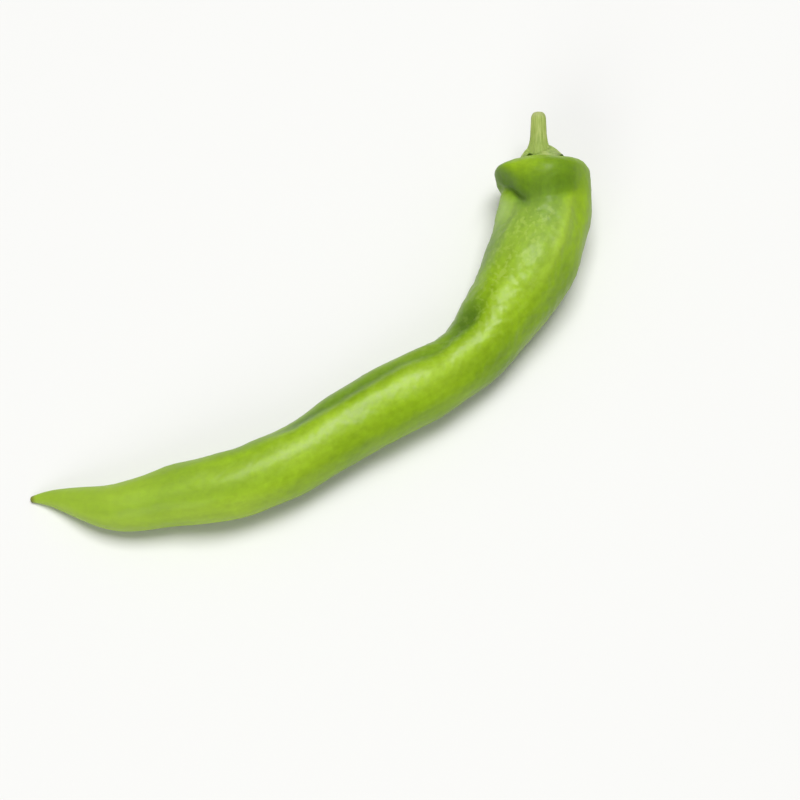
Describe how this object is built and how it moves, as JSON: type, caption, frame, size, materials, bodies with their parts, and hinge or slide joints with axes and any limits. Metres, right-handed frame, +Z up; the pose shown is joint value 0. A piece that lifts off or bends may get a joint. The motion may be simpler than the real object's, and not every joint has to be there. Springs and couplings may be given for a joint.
{
  "type": "long green pepper",
  "caption": "A picked long green pepper lying on its side, bent below a blunt shoulder and drawn out to a pointed tip, with its green calyx and short cut stalk",
  "frame": {"origin": "the middle of the underside of the whole box, on the surface the pepper lies on", "axes": "+X runs from the tip towards the stalk, +Z is up, and the pod's bend bulges towards -Y"},
  "size_m": [0.2122, 0.067, 0.0342],
  "materials": {
    "pepper_skin": "glossy waxy skin",
    "calyx_green": "satin",
    "stalk_green": "satin, finely ribbed"
  },
  "bodies": {
    "root": {"pod": "pepper_skin", "calyx": "calyx_green", "stem": "stalk_green"}
  },
  "joints": []
}
